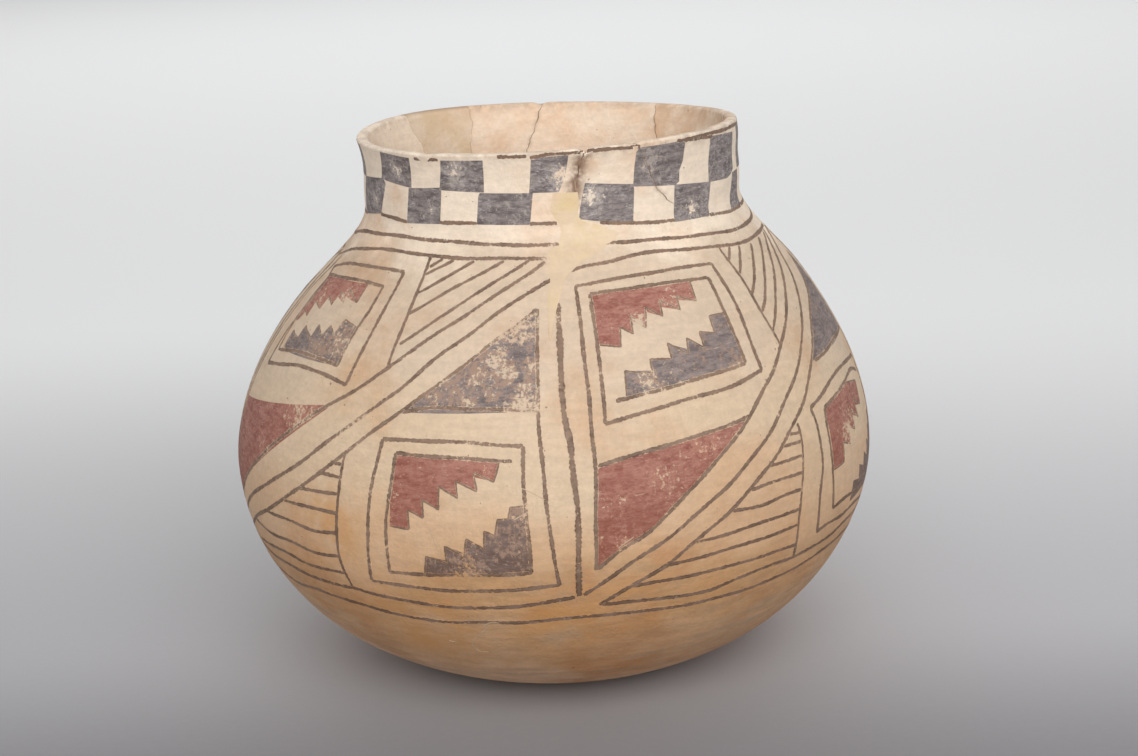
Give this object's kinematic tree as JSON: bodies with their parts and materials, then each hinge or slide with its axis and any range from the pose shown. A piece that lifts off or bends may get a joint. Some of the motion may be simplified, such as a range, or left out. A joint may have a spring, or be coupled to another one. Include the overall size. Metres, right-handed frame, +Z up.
{
  "type": "painted pottery jar",
  "caption": "Round-bellied pueblo pottery jar with a short flared neck, painted in black and red on buff clay, mended at the neck with glue and plaster fills.",
  "frame": {"origin": "centre of the base, on the surface the jar stands on", "axes": "+Z up along the jar's axis to its mouth, the pictured front faces -Y, +X to its right"},
  "size_m": [0.22, 0.22, 0.1855],
  "materials": {
    "fired_clay": "low-fired buff earthenware, slipped and burnished, matt mineral paint",
    "fill_plaster": "matt toned plaster",
    "glue": "aged brown adhesive"
  },
  "bodies": {
    "root": {"vessel_body": "fired_clay", "shoulder_fill": "fill_plaster", "rim_fill": "fill_plaster", "neck_sherd_left": "fired_clay", "neck_sherd_front": "fired_clay", "neck_sherd_right": "fired_clay", "neck_sherd_back_right": "fired_clay", "neck_sherd_back_left": "fired_clay", "joint_glue_front_left": "glue", "joint_glue_front_right": "glue", "joint_glue_back_right": "glue", "joint_glue_back": "glue", "seam_glue_left": "glue", "seam_glue_front": "glue", "seam_glue_right": "glue", "seam_glue_back_right": "glue", "seam_glue_back_left": "glue"}
  },
  "joints": []
}
